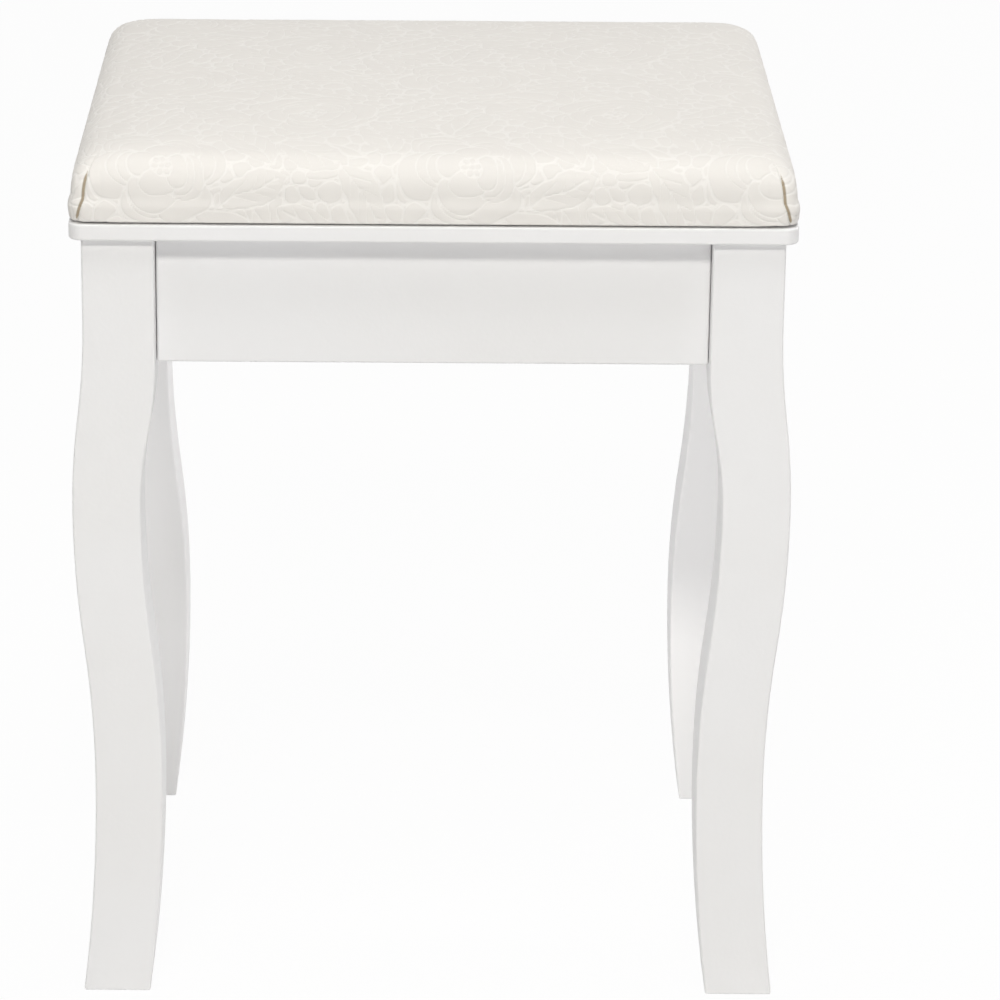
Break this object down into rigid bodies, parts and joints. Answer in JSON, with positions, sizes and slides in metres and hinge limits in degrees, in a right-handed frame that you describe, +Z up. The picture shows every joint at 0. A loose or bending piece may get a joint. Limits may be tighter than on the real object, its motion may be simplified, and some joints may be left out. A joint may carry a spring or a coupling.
{
  "type": "vanity stool",
  "caption": "Backless vanity stool with a padded fabric seat on a thin board, plain aprons and wavy legs in white lacquer.",
  "frame": {"origin": "on the floor under the middle of the stool", "axes": "+Z up, front towards -Y, +X to the right seen from the front"},
  "size_m": [0.3616, 0.3, 0.4561],
  "materials": {
    "white_lacquer": "satin white lacquer on wood",
    "cover_fabric": "ivory flocked upholstery fabric with raised roses and leaves",
    "foam": "open-cell upholstery foam",
    "plywood": "raw plywood",
    "bare_wood": "raw hardwood",
    "zinc_steel": "zinc-plated steel"
  },
  "bodies": {
    "root": {"front_left_leg": "white_lacquer", "front_right_leg": "white_lacquer", "back_left_leg": "white_lacquer", "back_right_leg": "white_lacquer", "front_apron": "white_lacquer", "back_apron": "white_lacquer", "left_apron": "white_lacquer", "right_apron": "white_lacquer", "seat_board": "white_lacquer", "front_left_corner_block": "bare_wood", "front_right_corner_block": "bare_wood", "back_left_corner_block": "bare_wood", "back_right_corner_block": "bare_wood", "pad_base": "plywood", "seat_foam": "foam", "seat_cover": "cover_fabric", "apron_dowels": "bare_wood", "cover_staples": "zinc_steel", "corner_block_screws": "zinc_steel", "seat_screws": "zinc_steel", "pad_screws": "zinc_steel", "leg_bolts": "zinc_steel", "leg_bolt_washers": "zinc_steel", "leg_bolt_nuts": "zinc_steel"}
  },
  "joints": []
}
